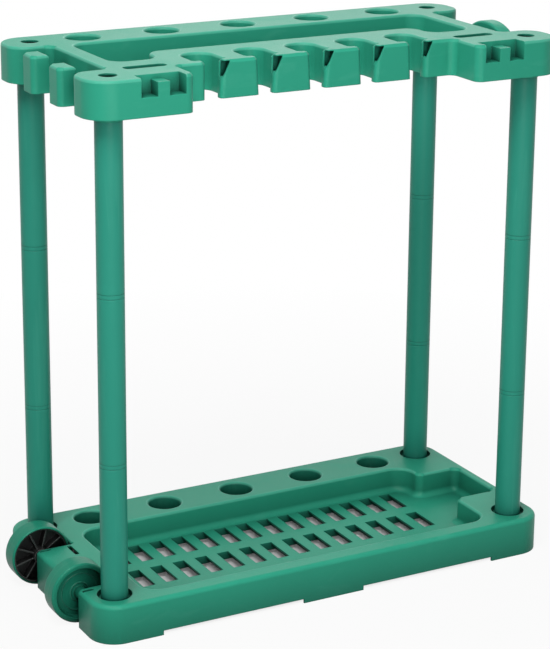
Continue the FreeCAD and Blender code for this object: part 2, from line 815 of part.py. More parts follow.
def base_grille(body):
    """The slots of the tray floor, with ribs below along and across them."""
    half = s.slot_length / 2
    rib_bottom = floor_bottom - s.rib_depth
    row_ends = (slot_row_places()[0] - half - s.rib_wall, slot_row_places()[-1] + half + s.rib_wall)
    across = Drawing(body, "cross_rib_plan", rib_bottom)
    first_rib_x = first_slot_x - s.slot_pitch / 2
    across.box(first_rib_x - s.rib_wall / 2, first_rib_x + s.rib_wall / 2, *row_ends)
    cross = grow(body, "cross_rib", across, s.rib_depth + 1)
    repeat(body, "cross_ribs", cross, "X_Axis", s.slot_pitch, slot_count + 1)
    along = Drawing(body, "row_ribs_plan", rib_bottom)
    for y in slot_row_places():
        for low in (y - half - s.rib_wall, y + half):
            along.box(first_rib_x, -first_rib_x, low, low + s.rib_wall)
    grow(body, "row_ribs", along, s.rib_depth + 1)
    slots = Drawing(body, "slots_plan", tray_floor)
    for y in slot_row_places():
        slots.box(first_slot_x - s.slot_width / 2, first_slot_x + s.slot_width / 2, y - half, y + half)
    repeat(body, "slots", cut(body, "slot_column", slots, s.wall + 1), "X_Axis", s.slot_pitch, slot_count)


def base_details(body):
    """The feet, the axle's bores and the small slots of the left end."""
    feet = Drawing(body, "feet_plan", s.foot_recess)
    for side_x in (-1, 1):
        for side_y in (-1, 1):
            feet.box(s.foot_inner_x * side_x, s.foot_outer_x * side_x,
                     (s.base_half_width - s.wall - 0.5) * side_y, (s.base_half_width + 1) * side_y)
    feet.box(half_length - s.wall - 0.5, half_length + 1, -s.foot_side_y, s.foot_side_y)
    cut(body, "feet", feet, s.foot_recess + 1)
    bore = Drawing(body, "axle_bore_plan", s.well_outside_y + s.wall * 2, "XZ_Plane")
    bore.circle(s.axle_x, s.axle_z, s.axle_diameter / 2 + s.axle_clearance / 2)
    cut(body, "axle_bore", bore, (s.well_outside_y + s.wall * 2) * 2)
    vents = Drawing(body, "vents_plan", s.base_height)
    for y in (s.vent_inner_y, s.vent_outer_y):
        for side in (-1, 1):
            vents.box(s.axle_x - s.vent_length / 2 + 2, s.axle_x + s.vent_length / 2 + 2,
                      y * side - s.vent_width / 2, y * side + s.vent_width / 2, 2)
    vents.box(-s.gap_slot_x - s.gap_slot_width / 2, -s.gap_slot_x + s.gap_slot_width / 2,
              s.gap_slot_y - s.gap_slot_length / 2, s.gap_slot_y + s.gap_slot_length / 2, 2)
    cut(body, "vents", vents, s.wall + 1)


def make_base():
    body = new_body("base_tray")
    base_shape(body)
    base_hollow(body)
    base_grille(body)
    base_details(body)
    stand(body, centre_shift, 0, 0)
    return body


# Poles
def make_tube(name, place, step):
    """One pole tube, with a neck at its upper end that plugs into the next piece."""
    body = new_body(name)
    radius = s.tube_diameter / 2
    bore = radius - s.tube_wall
    top_z = s.tube_run
    profile = Drawing(body, name + "_profile", 0, "XZ_Plane")
    profile.polygon([
        (bore, 0), (radius, 0), (radius, top_z), (neck_radius, top_z), (neck_radius, top_z + s.neck_length),
        (neck_radius - s.tube_wall, top_z + s.neck_length), (neck_radius - s.tube_wall, top_z - s.tube_wall * 2),
        (bore, top_z - s.tube_wall * 4),
    ])
    turn(body, name + "_tube", profile, "Z_Axis")
    stand(body, s.pole_x * place[0] + centre_shift, s.pole_y * place[1], s.socket_floor + s.tube_run * step)
    return body


# Wheels
def wheel_profile(body, name, side, points):
    """A drawing of (y, radius) points for the wheel on one side, with y measured outward."""
    drawing = Drawing(body, name, 0, "YZ_Plane")
    drawing.polygon([(as_size(y) * side, radius) for y, radius in points])
    return drawing


def make_rim(name, side):
    """The green tread with its closed outer disc and a boss that runs on the axle."""
    body = new_body(name)
    inside = s.wheel_inside_y
    outside = inside + s.wheel_width
    radius = s.wheel_radius
    bore = s.axle_diameter / 2 + s.axle_clearance
    disc = outside - s.disc_wall
    dish = s.dish_radius
    points = [
        (inside, radius - s.tread_wall), (inside, radius - s.tread_round), (inside + s.tread_round, radius),
        (outside - s.tread_round, radius), (outside, radius - s.tread_round), (outside, dish + s.dish_slope),
        (outside - s.dish_depth, dish), (outside - s.dish_depth, s.boss_radius),
        (s.well_outside_y - s.wheel_end_play, s.boss_radius), (s.well_outside_y - s.wheel_end_play, bore),
        (disc - s.dish_depth, bore), (disc - s.dish_depth, dish + s.dish_wall),
        (disc, dish + s.dish_slope + s.dish_wall), (disc, radius - s.tread_wall),
    ]
    turn(body, name + "_form", wheel_profile(body, name + "_profile", side, points), "Y_Axis")
    stand(body, s.axle_x + centre_shift, 0, s.axle_z)
    return body


def make_core(name, side):
    """The black core that presses into the rim: a ring, a web, a hub and its spokes."""
    body = new_body(name)
    face = s.wheel_inside_y + s.core_inset
    disc = s.wheel_inside_y + s.wheel_width - s.disc_wall
    outer = s.wheel_radius - s.tread_wall - s.core_clearance
    inner = outer - s.core_wall
    web = face + s.web_inset
    bore = s.axle_diameter / 2 + s.axle_clearance
    hub_end = disc - s.dish_depth - s.seat
    points = [
        (face, outer), (face, inner), (web, inner), (web, s.hub_radius),
        (s.well_inside_y + s.wheel_end_play, s.hub_radius - 1), (s.well_inside_y + s.wheel_end_play, bore),
        (hub_end, bore), (hub_end, s.hub_radius - 2), (web + s.web_wall, s.hub_radius),
        (web + s.web_wall, inner), (disc - s.seat, inner), (disc - s.seat, outer),
    ]
    turn(body, name + "_form", wheel_profile(body, name + "_profile", side, points), "Y_Axis")
    spoke = Drawing(body, name + "_spoke_plan", -(web + 0.5) * side if side > 0 else web + 0.5, "XZ_Plane")
    half = s.spoke_wall / 2
    spoke.box(s.hub_radius - 2, inner + s.core_wall / 2, -half, half)
    spoke.sketch.AttachmentOffset = Placement(spoke.sketch.AttachmentOffset.Base,
                                              Rotation(Vector(0, 0, 1), spoke_start))
    feature = body.newObject("PartDesign::Pad", name + "_spoke")
    feature.Profile = spoke.sketch
    feature.Reversed = side < 0
    bind(feature, "Length", s.web_inset - s.spoke_inset + 0.5)
    doc.recompute()
    pattern = body.newObject("PartDesign::PolarPattern", name + "_spokes")
    pattern.Originals = [feature]
    pattern.Axis = (origin_part(body, "Y_Axis"), [""])
    pattern.Angle = 360
    pattern.Occurrences = spoke_count
    body.Tip = pattern
    stand(body, s.axle_x + centre_shift, 0, s.axle_z)
    doc.recompute()
    return body


def make_axle(name):
    body = new_body(name)
    end = s.axle_length / 2
    radius = s.axle_diameter / 2
    profile = Drawing(body, name + "_profile", 0, "YZ_Plane")
    profile.polygon([(-end, 0), (-end, radius - 1), (1 - end, radius), (end - 1, radius), (end, radius - 1),
                     (end, 0)])
    turn(body, name + "_rod", profile, "Y_Axis")
    stand(body, s.axle_x + centre_shift, 0, s.axle_z)
    return body


def make_cap(name, side):
    """A push cap that closes one end of the axle."""
    body = new_body(name)
    start = s.well_outside_y + s.wall + s.seat
    end = s.axle_length / 2 + s.seat
    bore = s.axle_diameter / 2 + s.axle_clearance
    points = [
        (start, bore), (start, s.cap_radius), (end - 1, s.cap_radius), (end + s.cap_wall, s.cap_radius - 3),
        (end + s.cap_wall, 0), (end, 0), (end, bore),
    ]
    turn(body, name + "_form", wheel_profile(body, name + "_profile", side, points), "Y_Axis")
    stand(body, s.axle_x + centre_shift, 0, s.axle_z)
    return body


bodies = [make_top(), make_base()]
for corner, side_x, side_y in corners:
    for step, level in enumerate(("lower", "middle", "upper")):
        bodies.append(make_tube(f"pole_{corner}_{level}", (side_x, side_y), step))
for end, side in (("front", -1), ("back", 1)):
    bodies.append(make_rim("wheel_rim_" + end, side))
    bodies.append(make_core("wheel_core_" + end, side))
    bodies.append(make_cap("axle_cap_" + end, side))
bodies.append(make_axle("axle"))

doc.recompute()
for item in doc.Objects:
    if "Invalid" in item.State or "Error" in item.State:
        raise RuntimeError(f"{item.Label} did not compute")
for body in bodies:
    if body.Shape.isNull() or not body.Shape.isValid() or len(body.Shape.Solids) != 1:
        raise RuntimeError(f"{body.Label} is not one sound solid")

os.makedirs("parts", exist_ok=True)
for body in bodies:
    body.Shape.exportStep(f"parts/{body.Label}.step")
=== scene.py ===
import math

import bmesh
import bpy
from mathutils import Matrix, Vector


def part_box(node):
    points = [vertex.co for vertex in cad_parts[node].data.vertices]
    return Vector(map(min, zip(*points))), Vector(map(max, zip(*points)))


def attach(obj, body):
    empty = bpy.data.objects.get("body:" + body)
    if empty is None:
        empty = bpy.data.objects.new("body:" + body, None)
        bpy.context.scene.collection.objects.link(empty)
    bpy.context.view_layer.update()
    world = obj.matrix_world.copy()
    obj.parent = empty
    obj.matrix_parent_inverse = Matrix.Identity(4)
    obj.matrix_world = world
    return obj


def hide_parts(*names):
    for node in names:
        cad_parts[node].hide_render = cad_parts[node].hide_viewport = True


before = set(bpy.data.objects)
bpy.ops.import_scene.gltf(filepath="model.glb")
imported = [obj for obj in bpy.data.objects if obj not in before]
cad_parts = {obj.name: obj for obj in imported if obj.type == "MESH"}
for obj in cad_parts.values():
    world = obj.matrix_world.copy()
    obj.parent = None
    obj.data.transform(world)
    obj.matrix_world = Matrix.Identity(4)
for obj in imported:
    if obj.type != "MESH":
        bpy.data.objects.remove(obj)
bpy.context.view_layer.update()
print("frame loaded:", len(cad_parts), "nodes")


class Wire:
    def __init__(self, tree, socket=None):
        self.tree = tree
        self.socket = socket

    def node(self, kind, settings=None, sockets=None, output=0):
        made = self.tree.nodes.new(kind)
        for key, value in (settings or {}).items():
            if key == "stops":
                ramp = made.color_ramp
                while len(ramp.elements) < len(value):
                    ramp.elements.new(0.5)
                for element, (place, tone) in zip(ramp.elements, value):
                    element.position = place
                    element.color = (tone, tone, tone, 1)
            else:
                setattr(made, key, value)
        for key, value in (sockets or {}).items():
            if isinstance(value, Wire):
                self.tree.links.new(value.socket, made.inputs[key])
            else:
                made.inputs[key].default_value = value
        return Wire(self.tree, made.outputs[output] if len(made.outputs) else None)

    def maths(self, operation, first, second):
        return self.node("ShaderNodeMath", {"operation": operation}, {0: first, 1: second})

    def __add__(self, other):
        return self.maths("ADD", self, other)

    def __radd__(self, other):
        return self.maths("ADD", other, self)

    def __sub__(self, other):
        return self.maths("SUBTRACT", self, other)

    def __rsub__(self, other):
        return self.maths("SUBTRACT", other, self)

    def __mul__(self, other):
        return self.maths("MULTIPLY", self, other)

    def __rmul__(self, other):
        return self.maths("MULTIPLY", other, self)

    def blend(self, low, high):
        # a colour between two others, by this value
        return self.node("ShaderNodeMix", {"data_type": "RGBA", "clamp_factor": True},
                         {0: self, 6: low, 7: high}, output=2)


def newMaterial(name):
    material = bpy.data.materials.new(name)
    material.use_nodes = True
    material.node_tree.nodes.clear()
    return material, Wire(material.node_tree)


def tone(colour, factor):
    return (*(min(1, channel * factor) for channel in colour[:3]), 1)


def mouldedPlastic(name, look):
    # broad clouding, a spark-eroded grain, faint scuffs, polished edges and painted shade in hollows
    material, wire = newMaterial(name)
    place = wire.node("ShaderNodeTexCoord", output="Object")
    clouds = wire.node("ShaderNodeTexNoise", None,
                       {"Vector": place, "Scale": look["cloudScale"], "Detail": 3.0, "Roughness": 0.55})
    grain = wire.node("ShaderNodeTexNoise", None,
                      {"Vector": place, "Scale": look["grainScale"], "Detail": 2.0, "Roughness": 0.6})
    stretched = wire.node("ShaderNodeMapping", None, {"Vector": place, "Scale": look["scuffStretch"]})
    scuffNoise = wire.node("ShaderNodeTexNoise", None,
                           {"Vector": stretched, "Scale": look["scuffScale"], "Detail": 4.0,
                            "Distortion": 0.6})
    scuffs = wire.node("ShaderNodeValToRGB", {"stops": look["scuffStops"]}, {0: scuffNoise})
    edges = wire.node("ShaderNodeAttribute", {"attribute_name": "softEdge"}, output="Fac")
    base = look["colour"]
    colour = clouds.blend(tone(base, 1 - look["cloud"]), tone(base, 1 + look["cloud"]))
    colour = (scuffs * look["scuff"]).blend(colour, tone(look["worn"], 1))
    colour = (edges * look["edge"]).blend(colour, tone(look["worn"], 1.1))
    # painted shade: ambient occlusion darkens hollows, inner corners and the gaps between parts, standing in
    # for the shade that falls there
    openness = wire.node("ShaderNodeAmbientOcclusion", {"samples": 8}, {"Distance": look["hollow"]},
                         output=1)
    depth = wire.node("ShaderNodeMapRange", None,
                      {0: openness, 1: look["closed"], 2: look["open"], 3: look["shade"], 4: 0.0})
    colour = depth.blend(colour, tone(base, look["paintedShadeTone"]))
    roughness = (look["roughness"] + (clouds - 0.5) * look["cloudRough"] + scuffs * look["scuffRough"]
                 - edges * look["edgeRough"])
    height = grain * look["grain"] + scuffNoise * look["ripple"]
    eased = wire.node("ShaderNodeBevel", {"samples": 6}, {"Radius": look["ease"]})
    normal = wire.node("ShaderNodeBump", None,
                       {"Strength": look["bump"], "Distance": look["bumpDepth"], "Height": height,
                        "Normal": eased})
    surface = wire.node("ShaderNodeBsdfPrincipled", None,
                        {"Base Color": colour, "Roughness": roughness, "Normal": normal,
                         "Specular IOR Level": look["shine"], "Coat Weight": look["coat"],
                         "Coat Roughness": look["coatRoughness"]})
    wire.node("ShaderNodeOutputMaterial", None, {"Surface": surface})
    return material


def zincSteel(name, look):
    material, wire = newMaterial(name)
    place = wire.node("ShaderNodeTexCoord", output="Object")
    drawn = wire.node("ShaderNodeMapping", None, {"Vector": place, "Scale": look["lineStretch"]})
    lines = wire.node("ShaderNodeTexNoise", None, {"Vector": drawn, "Scale": 1.0, "Detail": 3.0})
    spangle = wire.node("ShaderNodeTexVoronoi", None, {"Vector": place, "Scale": look["spangleScale"]})
    streaks = lines * look["lineShare"] + spangle * look["spangleShare"]
    colour = streaks.blend(tone(look["colour"], look["dark"]), tone(look["colour"], look["light"]))
    normal = wire.node("ShaderNodeBump", None, {"Strength": 0.3, "Distance": 0.0002, "Height": lines})
    roughness = look["roughness"] + lines * look["lineRough"]
    surface = wire.node("ShaderNodeBsdfPrincipled", None,
                        {"Base Color": colour, "Roughness": roughness, "Metallic": 1.0, "Normal": normal})
    wire.node("ShaderNodeOutputMaterial", None, {"Surface": surface})
    return material


# the last five keys of a look set the painted shade in hollows and inner corners
greenLook = {"colour": (0.025, 0.310, 0.200), "worn": (0.12, 0.46, 0.34), "cloudScale": 9.0, "cloud": 0.05,
             "grainScale": 950.0, "grain": 0.6, "ripple": 0.35, "scuffStretch": (1.0, 1.0, 3.0),
             "scuffScale": 16.0, "scuffStops": ((0.58, 0), (0.72, 1)), "scuff": 0.10, "edge": 0.30,
             "roughness": 0.40, "cloudRough": 0.10, "scuffRough": 0.07, "edgeRough": 0.06,
             "coat": 0.02, "coatRoughness": 0.25, "shine": 0.14, "bump": 0.5, "bumpDepth": 0.0006,
             "ease": 0.0020, "hollow": 0.048, "shade": 1.0, "closed": 0.12, "open": 0.72,
             "paintedShadeTone": 0.08}
baseLook = dict(greenLook, hollow=0.08, shade=0.95, open=0.95)
poleLook = dict(greenLook, colour=(0.023, 0.262, 0.188), cloudScale=5.0, cloud=0.06, grain=0.25,
                scuffStretch=(9.0, 9.0, 0.6), scuffScale=7.0, scuff=0.12, roughness=0.38, coat=0.06,
                hollow=0.07, shade=0.95, open=0.92)
rimLook = dict(greenLook, colour=(0.014, 0.215, 0.135), grain=0.5, scuff=0.12, scuffScale=26.0,
               roughness=0.34, coat=0.04, edge=0.12, shine=0.10, hollow=0.05, open=0.95)
coreLook = dict(greenLook, colour=(0.012, 0.013, 0.013), worn=(0.17, 0.19, 0.18), scuff=0.12, cloud=0.1,
                edge=0.6, roughness=0.42, shine=0.4, ease=0.0006)
steelLook = {"colour": (0.62, 0.61, 0.59), "dark": 0.82, "light": 1.1, "roughness": 0.28,
             "lineStretch": (1400, 8, 1400), "lineShare": 0.5, "lineRough": 0.12,
             "spangleScale": 420.0, "spangleShare": 0.3}

greenPlastic = mouldedPlastic("greenPlastic", greenLook)
basePlastic = mouldedPlastic("basePlastic", baseLook)
polePlastic = mouldedPlastic("polePlastic", poleLook)
rimPlastic = mouldedPlastic("rimPlastic", rimLook)
corePlastic = mouldedPlastic("corePlastic", coreLook)
brightSteel = zincSteel("brightSteel", steelLook)
print("materials made")


def cornerNormals(bm, spread):
    # each corner leans to its larger faces, so a flat face stays flat beside a rounded edge
    limit = math.cos(math.radians(spread))
    areas = [face.calc_area() for face in bm.faces]
    normals = []
    for face in bm.faces:
        for loop in face.loops:
            total = Vector()
            for other in loop.vert.link_faces:
                if face.normal.dot(other.normal) > limit:
                    total += other.normal * areas[other.index]
            normals.append(total.normalized() if total.length > 0 else face.normal.copy())
    return normals


def finishPiece(name, bm, material, body, nodes, spread=38):
    # writes the mesh, shades it and ties the piece to its body and nodes
    bm.normal_update()
    bm.faces.index_update()
    for face in bm.faces:
        face.smooth = True
        face.material_index = 0
    normals = cornerNormals(bm, spread)
    mesh = bpy.data.meshes.new(name)
    bm.to_mesh(mesh)
    bm.free()
    mesh.normals_split_custom_set(normals)
    mesh.materials.append(material)
    piece = bpy.data.objects.new(name, mesh)
    bpy.context.collection.objects.link(piece)
    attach(piece, body)
    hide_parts(*nodes)


def markEdges(bm, faces):
    # the loops of these faces carry the polished-edge value
    layer = bm.loops.layers.float["softEdge"]
    for face in faces:
        if face.is_valid:
            for loop in face.loops:
                loop[layer] = 1.0


def easeEdges(bm, edges, width, segments=2):
    made = bmesh.ops.bevel(bm, geom=edges, offset=width, offset_type="OFFSET", affect="EDGES",
                           segments=segments, profile=0.5, clamp_overlap=False, material=-1)
    markEdges(bm, made["faces"])


def sharpEdges(bm, angle):
    # the edges where two faces meet at more than this many degrees
    return [edge for edge in bm.edges
            if len(edge.link_faces) == 2 and edge.calc_face_angle(0) > math.radians(angle)]


def copyNode(nodeName):
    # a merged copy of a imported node
    bm = bmesh.new()
    bm.from_mesh(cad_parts[nodeName].data)
    bmesh.ops.remove_doubles(bm, verts=bm.verts, dist=2e-6)
    bm.normal_update()
    return bm


def spinProfile(points, axis, centre, steps, closed=True):
    # turns (along, radius) points once round an axis
    bm = bmesh.new()
    side = Vector((1, 0, 0))
    verts = [bm.verts.new(centre + axis * along + side * radius) for along, radius in points]
    edges = [bm.edges.new((verts[i - 1], verts[i])) for i in range(0 if closed else 1, len(verts))]
    bmesh.ops.spin(bm, geom=verts + edges, cent=centre, axis=axis, angle=math.tau, steps=steps,
                   use_merge=True, use_duplicate=False)
    bmesh.ops.remove_doubles(bm, verts=bm.verts, dist=1e-6)
    bmesh.ops.recalc_face_normals(bm, faces=bm.faces)
    bm.loops.layers.float.new("softEdge")
    return bm


moulding = {"topHeight": 0.830, "baseHeight": 0.060, "rimDepth": 0.004, "rimCuts": 4}


def slopeFaces(bm, top):
    # the bands along the upper edges of a moulding, which slope at 45 degrees
    low = top - moulding["rimDepth"]
    found = []
    for face in bm.faces:
        atEnds = all(min(abs(vert.co.z - top), abs(vert.co.z - low)) < 2e-5 for vert in face.verts)
        if atEnds and abs(face.normal.z - math.sqrt(0.5)) < 0.03:
            found.append(face)
    return found


def roundRims(bm, top):
    # cuts each sloped band into level strips and swells it to a quarter round
    depth = moulding["rimDepth"]
    layer = bm.faces.layers.int.new("rim")
    bm.loops.layers.float.new("softEdge")
    for face in slopeFaces(bm, top):
        face[layer] = 1
    for step in range(1, moulding["rimCuts"]):
        part = step / moulding["rimCuts"]
        band = [face for face in bm.faces if face[layer]]
        edges = {edge for face in band for edge in face.edges}
        verts = {vert for face in band for vert in face.verts}
        bmesh.ops.bisect_plane(bm, geom=band + list(edges) + list(verts), dist=1e-7,
                               plane_co=(0, 0, top - depth * part), plane_no=(0, 0, 1))
    band = [face for face in bm.faces if face[layer]]
    bm.normal_update()
    moves = []
    for vert in {vert for face in band for vert in face.verts}:
        part = (top - vert.co.z) / depth
        if not 0.01 < part < 0.99:  # the band's own two edges stay where they are
            continue
        outward = [face.normal.xy.normalized() for face in vert.link_faces if face[layer]]
        middle = sum(outward, Vector((0, 0))).normalized()
        spread = max(0.5, min(middle.dot(side) for side in outward))
        angle = math.pi / 2 * part
        push = middle * (depth * (math.sin(angle) - part) / spread)
        moves.append((vert, Vector((push.x, push.y, depth * (math.cos(angle) - 1 + part)))))
    for vert, move in moves:
        vert.co += move
    markEdges(bm, band)


hooks = {"middle": 0.01825, "pitch": 0.085, "count": 4, "root": -0.098, "tip": -0.116, "bottom": 0.775,
         "top": 0.830, "flare": 0.003}


def flareHooks(bm):
    # each hook is a little narrower at its top than at its foot
    h = hooks
    for vert in bm.verts:
        reach = (h["root"] - vert.co.y) / (h["root"] - h["tip"])
        place = (vert.co.x - h["middle"]) / h["pitch"] + h["count"] / 2
        if 0 < reach < 1.05 and 0 < place < h["count"]:
            part = (vert.co.z - h["bottom"]) / (h["top"] - h["bottom"])
            vert.co.x += (2 * (place % 1) - 1) * reach * h["flare"] * (1 - 2 * part)


for nodeName, pieceName, material, height in (
        ("top_frame", "topMoulding", greenPlastic, moulding["topHeight"]),
        ("base_tray", "baseMoulding", basePlastic, moulding["baseHeight"])):
    bm = copyNode(nodeName)
    roundRims(bm, height)
    if nodeName == "top_frame":
        flareHooks(bm)
    bmesh.ops.triangulate(bm, faces=[face for face in bm.faces if len(face.verts) > 4])
    finishPiece(pieceName, bm, material, "rack", [nodeName])
    print(pieceName, "done")

# each pole is three tubes, and every tube carries a fine band line just above its lower end
pole = {"radius": 0.020, "wall": 0.0016, "run": 0.254, "neck": 0.030, "neckRadius": 0.0183,
        "neckStart": 0.0035, "neckTaper": 0.007, "round": 0.0007, "bandHeight": 0.0065,
        "bandWidth": 0.0008, "bandDepth": 0.0004, "steps": 72}


def roundedCorner(along, radius, size, alongSign, radiusSign, first):
    # five points round an outer corner; first tells which side the run starts from
    points = []
    for step in range(5):
        angle = math.pi / 2 * step / 4
        back = size * (1 - math.sin(angle))
        down = size * (1 - math.cos(angle))
        points.append((along - alongSign * (back if first == "side" else down),
                       radius - radiusSign * (down if first == "side" else back)))
    return points


def poleProfile():
    p = pole
    bore = p["radius"] - p["wall"]
    neckBore = p["neckRadius"] - p["wall"]
    end = p["run"] + p["neck"]
    points = [(0, bore)]
    points += roundedCorner(0, p["radius"], p["round"], -1, 1, "end")
    for height, depth in ((-0.5, 0), (-0.25, 1), (0.25, 1), (0.5, 0)):
        points.append((p["bandHeight"] + p["bandWidth"] * height, p["radius"] - p["bandDepth"] * depth))
    points += roundedCorner(p["run"], p["radius"], p["round"], 1, 1, "side")
    points += [(p["run"], p["neckRadius"])]
    points += roundedCorner(end, p["neckRadius"], p["round"], 1, 1, "side")
    points += [(end, neckBore), (p["run"] - p["neckStart"], neckBore), (p["run"] - p["neckTaper"], bore)]
    return points


def nodeMiddle(nodeName):
    lowest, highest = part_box(nodeName)
    return (Vector(lowest) + Vector(highest)) / 2


for corner in ("front_left", "front_right", "back_left", "back_right"):
    for word in ("lower", "middle", "upper"):
        nodeName = f"pole_{corner}_{word}"
        foot = nodeMiddle(nodeName)
        foot.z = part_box(nodeName)[0][2]
        bm = spinProfile(poleProfile(), Vector((0, 0, 1)), foot, pole["steps"])
        words = "".join(part.capitalize() for part in nodeName.split("_")[1:])
        finishPiece("pole" + words, bm, polePlastic, "rack", [nodeName])
print("poles done")

# the wheels: lengths are measured outward along the axle from its middle
wheel = {"radius": 0.047, "inside": 0.0605, "outside": 0.0925, "treadWall": 0.0035, "round": 0.003,
         "disc": 0.0035, "dish": 0.0368, "dishSlope": 0.0025, "dishDepth": 0.008, "dishWall": 0.002,
         "boss": 0.009, "bossEnd": 0.1003, "bore": 0.00405, "ribs": (0.0145, 0.0285), "ribWidth": 0.0016,
         "ribHeight": 0.0009, "seam": 0.0765, "seamWidth": 0.0012, "seamHeight": 0.00025,
         "edgeWidth": 0.0005, "edgeAngle": 40, "steps": 96}
core = {"outer": 0.0434, "wall": 0.002, "face": 0.062, "web": 0.078, "webWall": 0.0025, "back": 0.0887,
        "bore": 0.00405, "hub": 0.013, "hubFace": 0.0577, "hubFaceTaper": 0.001, "hubEnd": 0.0807,
        "hubEndTaper": 0.002, "spokes": 9, "spokeStart": 35, "spokeWall": 0.0022, "spokeFace": 0.064,
        "spokeRoot": 0.002, "spokeSink": 0.0005, "edgeWidth": 0.00035, "edgeAngle": 40, "steps": 96}


def rimProfile():
    w = wheel
    points = [(w["inside"], w["radius"] - w["treadWall"])]
    points += roundedCorner(w["inside"], w["radius"] - w["seamHeight"], w["round"], -1, 1, "end")
    for across, height in ((-0.5, 0), (0, 1), (0.5, 0)):
        points.append((w["seam"] + w["seamWidth"] * across, w["radius"] - w["seamHeight"] * (1 - height)))
    points += roundedCorner(w["outside"], w["radius"] - w["seamHeight"], w["round"], 1, 1, "side")
    floor = w["outside"] - w["dishDepth"]
    back = w["outside"] - w["disc"]
    points += [(w["outside"], w["dish"] + w["dishSlope"]), (floor, w["dish"])]
    for rib in sorted(w["ribs"], reverse=True):
        for across, height in ((0.5, 0), (0.3, 1), (-0.3, 1), (-0.5, 0)):
            points.append((floor + w["ribHeight"] * height, rib + w["ribWidth"] * across))
    points += [(floor, w["boss"]), (w["bossEnd"], w["boss"]), (w["bossEnd"], w["bore"]),
               (back - w["dishDepth"], w["bore"]), (back - w["dishDepth"], w["dish"] + w["dishWall"]),
               (back, w["dish"] + w["dishSlope"] + w["dishWall"]), (back, w["radius"] - w["treadWall"])]
    return points


def coreProfile():
    c = core
    inner = c["outer"] - c["wall"]
    return [(c["face"], c["outer"]), (c["face"], inner), (c["web"], inner), (c["web"], c["hub"]),
            (c["hubFace"], c["hub"] - c["hubFaceTaper"]), (c["hubFace"], c["bore"]),
            (c["hubEnd"], c["bore"]), (c["hubEnd"], c["hub"] - c["hubEndTaper"]),
            (c["web"] + c["webWall"], c["hub"]), (c["web"] + c["webWall"], inner),
            (c["back"], inner), (c["back"], c["outer"])]


def addSpokes(bm, centre, side):
    # thin ribs from the hub to the ring, each a block set into both
    c = core
    start = c["hub"] - c["spokeRoot"]
    end = c["outer"] - c["wall"] / 2
    depth = c["web"] + c["spokeSink"] - c["spokeFace"]
    size = Matrix.Diagonal((end - start, depth, c["spokeWall"], 1))
    reach = Matrix.Translation(((start + end) / 2, (c["spokeFace"] + depth / 2) * side, 0))
    for number in range(c["spokes"]):
        turn = Matrix.Rotation(-math.radians(c["spokeStart"] + 360 / c["spokes"] * number), 4, "Y")
        bmesh.ops.create_cube(bm, size=1.0, matrix=Matrix.Translation(centre) @ turn @ reach @ size)


axleMiddle = nodeMiddle("axle")
for end, side in (("front", -1), ("back", 1)):
    outward = Vector((0, side, 0))
    word = end.capitalize()
    bm = spinProfile(rimProfile(), outward, axleMiddle, wheel["steps"])
    easeEdges(bm, sharpEdges(bm, wheel["edgeAngle"]), wheel["edgeWidth"])
    finishPiece("wheelRim" + word, bm, rimPlastic, f"wheel_{end}", [f"wheel_rim_{end}"])
    bm = spinProfile(coreProfile(), outward, axleMiddle, core["steps"])
    addSpokes(bm, axleMiddle, side)
    easeEdges(bm, sharpEdges(bm, core["edgeAngle"]), core["edgeWidth"])
    finishPiece("wheelCore" + word, bm, corePlastic, f"wheel_{end}", [f"wheel_core_{end}"])
print("wheels done")

# the axle rod and its domed push caps
rod = {"half": 0.1105, "radius": 0.004, "nose": 0.001, "rings": (-0.06, -0.02, 0.02, 0.06), "steps": 48}
cap = {"start": 0.1043, "shoulder": 0.1098, "end": 0.1123, "radius": 0.006, "tip": 0.42, "bore": 0.00405,
       "rodEnd": 0.1108, "edgeWidth": 0.0002, "edgeAngle": 60, "steps": 48}


def rodProfile():
    r = rod
    points = [(-r["half"], 0), (-r["half"], r["radius"] - r["nose"]), (r["nose"] - r["half"], r["radius"])]
    for place in r["rings"]:
        points.append((place, r["radius"]))
    return points + [(r["half"] - r["nose"], r["radius"]), (r["half"], r["radius"] - r["nose"]),
                     (r["half"], 0)]


def capProfile():
    c = cap
    points = [(c["rodEnd"], 0), (c["rodEnd"], c["bore"]), (c["start"], c["bore"]), (c["start"], c["radius"])]
    for step in range(7):
        angle = math.pi / 2 * step / 6
        points.append((c["shoulder"] + (c["end"] - c["shoulder"]) * math.sin(angle),
                       c["radius"] * (c["tip"] + (1 - c["tip"]) * math.cos(angle))))
    return points + [(c["end"], 0)]


bm = spinProfile(rodProfile(), Vector((0, 1, 0)), axleMiddle, rod["steps"], closed=False)
finishPiece("axleRod", bm, brightSteel, "rack", ["axle"])
for end, side in (("front", -1), ("back", 1)):
    bm = spinProfile(capProfile(), Vector((0, side, 0)), axleMiddle, cap["steps"], closed=False)
    easeEdges(bm, sharpEdges(bm, cap["edgeAngle"]), cap["edgeWidth"])
    finishPiece("axleCap" + end.capitalize(), bm, brightSteel, "rack", [f"axle_cap_{end}"])
print("axle done")


def whiteRays(wire):
    # one for the rays that see the white ground straight, in gloss or through glass
    straight = wire.node("ShaderNodeLightPath", output="Is Camera Ray")
    glossy = wire.node("ShaderNodeLightPath", output="Is Glossy Ray")
    clear = wire.node("ShaderNodeLightPath", output="Is Transmission Ray")
    return wire.node("ShaderNodeMath", {"operation": "ADD", "use_clamp": True},
                     {0: straight + glossy, 1: clear})


stageLook = {"floor": (0.50, 0.50, 0.50, 1), "fadeStart": 0.45, "fadeEnd": 1.5, "least": 0.91, "under": 0.06,
             "halfLength": 0.33, "halfWidth": 0.145, "soft": 0.035, "halfFloor": 14, "fill": 0.12}
floorMaterial, wire = newMaterial("paleFloor")
place = wire.node("ShaderNodeTexCoord", output="Object")
reach = wire.node("ShaderNodeVectorMath", {"operation": "LENGTH"}, {0: place}, output="Value")
fade = wire.node("ShaderNodeMapRange", None,
                 {0: reach, 1: stageLook["fadeStart"], 2: stageLook["fadeEnd"],
                  3: stageLook["least"], 4: 1.0})
